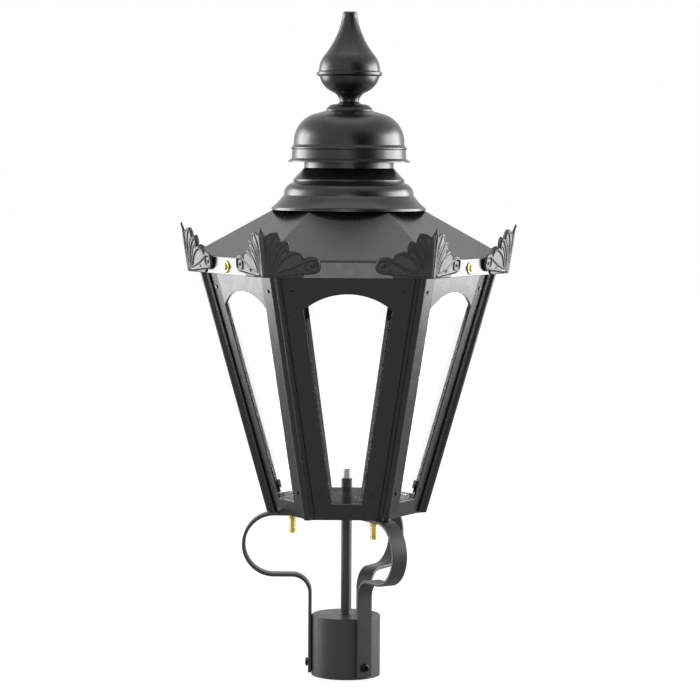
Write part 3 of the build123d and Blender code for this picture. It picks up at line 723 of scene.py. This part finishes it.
def bent(first, second, third, fourth):
    """Points of a rib's line, 60 from root to lobe: (1-t)^3 first + 3t(1-t)^2 second
    + 3t^2(1-t) third + t^3 fourth."""
    t = np.linspace(0, 1, 60)[:, None]
    points = (first, second, third, fourth)
    first, second, third, fourth = (np.array(point, float) for point in points)
    near_root = (1 - t) ** 3 * first + 3 * t * (1 - t) ** 2 * second
    return near_root + 3 * t**2 * (1 - t) * third + t**3 * fourth


edge_line = np.concatenate([through(*stretch[2:]) for stretch in stretches])
root_line = np.concatenate([np.linspace(*stretch[:2], stretch[5]) for stretch in stretches])
leaf_rows = 56
from_root = np.linspace(0, 1, leaf_rows)[:, None, None]
leaf = root_line + (edge_line - root_line) * from_root
spots = leaf.reshape(-1, 2)

# Ribs and veins: half width, height or depth, and line, in mm.
ribs = [
    (1.9, 2.0, bent((1.8, 2), (2, 25), (2.2, 45), (4, 52))),
    (1.5, 1.6, bent((3.6, 2), (4.5, 22), (7, 42), (16.5, 51))),
    (1.5, 1.6, bent((8, 4), (9, 18), (14, 33), (28, 42))),
    (1.2, 1.1, bent((6, 4), (7, 20), (10.5, 34), (20, 42.5))),
    (1.5, 1.6, bent((13, 6), (16, 16), (23, 26), (37, 30))),
    (1.2, 1.1, bent((10.5, 5), (12.5, 17), (19, 30), (28, 35))),
    (1.6, 1.8, bent((10, 3.2), (25, 4), (40, 6.5), (56, 7.2))),
    (1.3, 1.3, bent((14, 7), (28, 10), (38, 14.5), (50, 20.5))),
]
veins = [
    (0.8, 0.5, bent((21.5, 41.5), (16, 32), (11, 20), (9, 8))),
    (0.8, 0.5, bent((29.5, 30), (22, 24), (15, 14), (12, 6))),
    (0.8, 0.5, bent((47.5, 23), (38, 17), (28, 11), (20, 6))),
    (0.6, 0.4, bent((9, 15.5), (12, 16), (15, 15.8), (19, 14.5))),
    (0.6, 0.4, bent((9, 12.2), (12, 12.7), (15, 12.4), (19, 11.2))),
    (0.6, 0.4, bent((9, 9), (12, 9.5), (15, 9.2), (19, 8.2))),
]
scroll_middle = np.array([56.5, 14.8])
scroll_radius = 7.0
scroll_floor = -0.2
ring_lift, ring_width = 1.5, 2.4
eye_lift, eye_radius = 1.4, 3.4
rivet_middle = np.array([33.0, 6.5])
rivet_lift, rivet_radius, rivet_shoulder = 1.25, 3.2, 0.6
rib_softening = 0.75
rib_spread = 1.6
vein_spread = 1.35
rim_lift, rim_inset = 0.7, 0.9
edge_depth, web_depth = 0.7, 0.5


def gap_to(line):
    """The distance from each spot of the leaf to a line given by its points: the least of
    sqrt(dx^2 + dy^2)."""
    steps = spots[:, None, :] - line[None, :, :]
    return np.sqrt((steps**2).sum(axis=2)).min(axis=1).reshape(leaf_rows, -1)


def swelling(gap, width):
    """A soft ridge's height as a share of its top: (1 - (gap / width)^2)^2, and nothing beyond."""
    return np.clip(1 - (gap / width) ** 2, 0, 1) ** 2


# The relief is the highest of ribs, rim, scroll ring, scroll eye and rivet; veins are cut into
# what is low. Squarish is a distance that makes the ring a little square: (|dx|^3 + |dy|^3)^(1/3).
relief = np.zeros((leaf_rows, len(edge_line)))
for width, lift, line in ribs:
    relief = np.maximum(relief, rib_softening * lift * swelling(gap_to(line), rib_spread * width))
edge_gap = gap_to(edge_line)
root_gap = gap_to(root_line)
relief = np.maximum(relief, rim_lift * swelling(edge_gap - rim_inset, 2 * rim_inset))
for width, depth, line in veins:
    cut = depth * swelling(gap_to(line), vein_spread * width)
    relief = relief - cut * np.clip(1 - relief, 0, 1)
from_scroll = np.abs(leaf - scroll_middle)
from_eye = np.hypot(*np.moveaxis(from_scroll, 2, 0))
from_rivet = np.hypot(*np.moveaxis(leaf - rivet_middle, 2, 0))
squarish = ((from_scroll**3).sum(axis=2)) ** (1 / 3)
relief = np.where(squarish < scroll_radius, scroll_floor, relief)
relief = np.maximum(relief, ring_lift * swelling(squarish - scroll_radius, ring_width))
relief = np.maximum(relief, eye_lift * swelling(from_eye, eye_radius))
rivet_side = np.clip((rivet_radius - from_rivet) / rivet_shoulder, 0, 1)
relief = np.maximum(relief, rivet_lift * rivet_side)
rolled = np.sqrt(np.clip(np.minimum(edge_gap, root_gap) / rim_inset, 0, 1))
front_depth = edge_depth + (web_depth + relief) * rolled


def wing(leaf_points, depth):
    """A crest's wing in space: up the leaning face by height, along it by reach, and out by depth.
    The first 6 mm widen with depth, so that both wings meet on the corner plane."""
    reach, height = leaf_points[..., 0], leaf_points[..., 1]
    apothem = crest_apothem + height * sin(crest_lean) + depth * cos(crest_lean)
    widening = depth * cos(crest_lean) * np.clip(reach / 6, 0, 1)
    across = (apothem - widening) * tan(radians(30)) - reach
    level = crest_low + height * cos(crest_lean) - depth * sin(crest_lean)
    return np.stack([apothem, across, level], axis=-1)


# The back is plain, so every fifth row is enough for it.
front = wing(leaf, front_depth)
back = wing(leaf[::-5], 0.0)
wing_rows = turned_to(np.concatenate([front, back, front[:1]]), -30)
other_wing_rows = wing_rows * np.array([1, -1, 1])
for number in range(1, 7):
    azimuth = 60 * (number - 1)
    new_piece(
        f"acanthus_crest_{number}",
        [turned_to(wing_rows, azimuth), turned_to(other_wing_rows, azimuth)],
        cast_coat,
        "roof",
        [f"corner_crest_{number}"],
        closed=False,
        crisp=70.0,
    )
dress(["crest_rivets"], cast_coat)

# Roof screws and cup washers ----------------------------------------------------------------
# Slotted brass screws in brass cup washers hold the roof to the top rail.
# Each washer is pressed from sheet: a rolled outer rim and a dished seat for the screw's head.

washer_height = 502.0
screw_azimuths = (90, 210, 330)
washer_profile = [
    (0.0, 3.2),
    (0.0, 7.3),
    (0.5, 7.5),
    (1.1, 7.3),
    (1.55, 6.6),
    (1.75, 5.7),
    (1.6, 4.9),
    (1.15, 4.2),
    (0.85, 3.2),
]


def cup_washer(azimuth):
    """The washer's profile (out, radius) turned about its screw's line:
    point = (face + out, radius cos t, height + radius sin t)."""
    profile = eased(washer_profile, coat_edge, 3)
    profile = np.concatenate([profile, profile[:1]])
    turn = np.linspace(0, 2 * pi, 48, endpoint=False)
    out = eave_apothem + profile[:, :1] + 0 * turn
    across = profile[:, 1:] * np.cos(turn)
    level = washer_height + profile[:, 1:] * np.sin(turn)
    return turned_to(np.stack([out, across, level], axis=-1), azimuth)


new_piece(
    "rolled_cup_washers",
    [cup_washer(azimuth) for azimuth in screw_azimuths],
    brass,
    "roof",
    ["cup_washers"],
    crisp=50.0,
)
dress([f"roof_screw_{number}" for number in (1, 2, 3)], brass)

# Post screws --------------------------------------------------------------------------------
# M6 button-head screws with a hex recess clamp the post through each arm.
# Their black oxide is thin, so a little of the steel's own sheen shows through it.

black_oxide = plated("black_oxide_steel", "#1a1a19", "#262625", 0.30, 0.44, 0.8)
dress([f"post_screw_{number}" for number in (1, 2, 3)], black_oxide)

# Floor and background -----------------------------------------------------------------------
# A pale paper sweep that keeps a faint shadow. Glow seen only by the camera and through glass
# lifts it to white; mirrored in the coat it is a light grey. The room is white to the eye, and
# lights the colour at half of that.

floor_reach = 9
floor_mesh = bpy.data.meshes.new("studio_floor")
floor_signs = [(-1, -1), (1, -1), (1, 1), (-1, 1)]
floor_corners = [(x * floor_reach, y * floor_reach, 0) for x, y in floor_signs]
floor_mesh.from_pydata(floor_corners, [], [(0, 1, 2, 3)])
floor = bpy.data.objects.new("studio_floor", floor_mesh)
bpy.context.scene.collection.objects.link(floor)
pale = empty_material("pale_paper_sweep")
ray = add_node(pale, "ShaderNodeLightPath")
direct = add_node(
    pale,
    "ShaderNodeMath",
    {"operation": "MAXIMUM"},
    {0: (ray, "Is Camera Ray"), 1: (ray, "Is Transmission Ray")},
)
direct_glow = add_node(pale, "ShaderNodeMath", {"operation": "MULTIPLY", 1: 0.8}, {0: (direct, 0)})
all_glow = add_node(
    pale,
    "ShaderNodeMath",
    {"operation": "MULTIPLY_ADD", 1: 0.25},
    {0: (ray, "Is Glossy Ray"), 2: (direct_glow, 0)},
)
paper = add_node(pale, "ShaderNodeBsdfDiffuse", {"Color": linear("#c8c8c6")})
glow = add_node(pale, "ShaderNodeEmission", {"Color": linear("#ffffff")}, {"Strength": (all_glow, 0)})
both = add_node(pale, "ShaderNodeAddShader", links={0: (paper, 0), 1: (glow, 0)})
add_node(pale, "ShaderNodeOutputMaterial", links={"Surface": (both, 0)})
floor_mesh.materials.append(pale)

world = bpy.data.worlds.new("studio")
bpy.context.scene.world = world
world.use_nodes = True
world.node_tree.nodes.clear()
sight = add_node(world, "ShaderNodeLightPath")
seen = add_node(
    world,
    "ShaderNodeMath",
    {"operation": "MAXIMUM"},
    {0: (sight, "Is Camera Ray"), 1: (sight, "Is Glossy Ray")},
)
any_seen = add_node(
    world,
    "ShaderNodeMath",
    {"operation": "MAXIMUM"},
    {0: (seen, 0), 1: (sight, "Is Transmission Ray")},
)
room_glow = add_node(
    world, "ShaderNodeMapRange", {"To Min": 0.5, "To Max": 1.0}, {"Value": (any_seen, 0)}
)
backdrop = add_node(
    world, "ShaderNodeBackground", {"Color": linear("#ffffff")}, {"Strength": (room_glow, "Result")}
)
add_node(world, "ShaderNodeOutputWorld", links={"Surface": (backdrop, 0)})

# Lamps --------------------------------------------------------------------------------------
# Bright tall boxes stand behind the lantern at the left and right, with dimmer walls round them,
# and a small strip box hangs in front. The gloss coat mirrors them, and they add nothing to its
# colour; a top box lights the colour.


def standing(azimuth, distance, height):
    """A place in metres round the lantern's axis: (distance cos a, distance sin a, height)."""
    return (distance * cos(radians(azimuth)), distance * sin(radians(azimuth)), height)


def soft_box(name, place, aim, width, height, brightness, lights_colour=False):
    """A rectangular lamp whose face is brightness times white: its power is pi x area x brightness."""
    lamp = bpy.data.lights.new(name, "AREA")
    lamp.shape = "RECTANGLE"
    lamp.size = width
    lamp.size_y = height
    lamp.energy = pi * width * height * brightness
    holder = bpy.data.objects.new(name, lamp)
    holder.location = place
    holder.rotation_euler = (Vector(aim) - Vector(place)).to_track_quat("-Z", "Y").to_euler()
    holder.visible_camera = False
    holder.visible_diffuse = lights_colour
    holder.visible_transmission = False
    bpy.context.scene.collection.objects.link(holder)


soft_box("soft_box_left", standing(160, 1.5, 0.60), (0, 0, 0.45), 0.90, 1.20, 8.5)
soft_box("soft_box_right", standing(12, 1.5, 0.60), (0, 0, 0.45), 1.35, 1.20, 9.0)
soft_box("wall_left", standing(165, 2.6, 0.70), (0, 0, 0.45), 3.2, 2.4, 1.6)
soft_box("wall_right", standing(8, 2.6, 0.70), (0, 0, 0.45), 3.4, 2.4, 1.6)
soft_box("strip_box_front", (-0.04, -1.0, 0.45), (0, 0, 0.50), 0.46, 0.16, 5.5)
soft_box("soft_box_top", (0, 0.2, 2.6), (0, 0, 0.6), 1.8, 1.8, 0.9, lights_colour=True)

# Dark card ----------------------------------------------------------------------------------
# A tall board covered with black felt, to the right of the camera.
# The gloss coat mirrors it as its darkest greys, and no other kind of ray sees it.

card_mesh = bpy.data.meshes.new("dark_card")
card_distance = 4.2
card_corners = [(277, -0.2), (324, -0.2), (324, 3.6), (277, 3.6)]
card_points = [standing(azimuth, card_distance, height) for azimuth, height in card_corners]
card_mesh.from_pydata(card_points, [], [(0, 1, 2, 3)])
card = bpy.data.objects.new("dark_card", card_mesh)
bpy.context.scene.collection.objects.link(card)
card.visible_camera = False
card.visible_diffuse = False
card.visible_transmission = False
card.visible_shadow = False
felt = empty_material("black_felt_board")
nap = add_node(felt, "ShaderNodeBsdfDiffuse", {"Color": linear("#0c0c0c")})
add_node(felt, "ShaderNodeOutputMaterial", links={"Surface": (nap, 0)})
card_mesh.materials.append(felt)

# Camera -------------------------------------------------------------------------------------
# A 140 mm lens 3.3 m away and 636 mm up, straight before the front panel and looking down
# 4.1 degrees. A roll of 0.39 degrees allows for the lantern's slight lean in the photograph.

camera_data = bpy.data.cameras.new("camera")
camera_data.lens = 139.9
camera_data.sensor_width = 36.0
camera_data.clip_end = 60.0
camera = bpy.data.objects.new("camera", camera_data)
bpy.context.scene.collection.objects.link(camera)
bpy.context.scene.camera = camera
eye = Vector(standing(-90.0, 3.3, 0.636))
aim = Vector((0.0028, 0.0, 0.3982))
facing = (aim - eye).to_track_quat("-Z", "Y").to_matrix().to_4x4()
roll = Matrix.Rotation(radians(0.39), 4, "Z")
camera.matrix_world = Matrix.Translation(eye) @ facing @ roll
bpy.context.scene.view_settings.view_transform = "Standard"
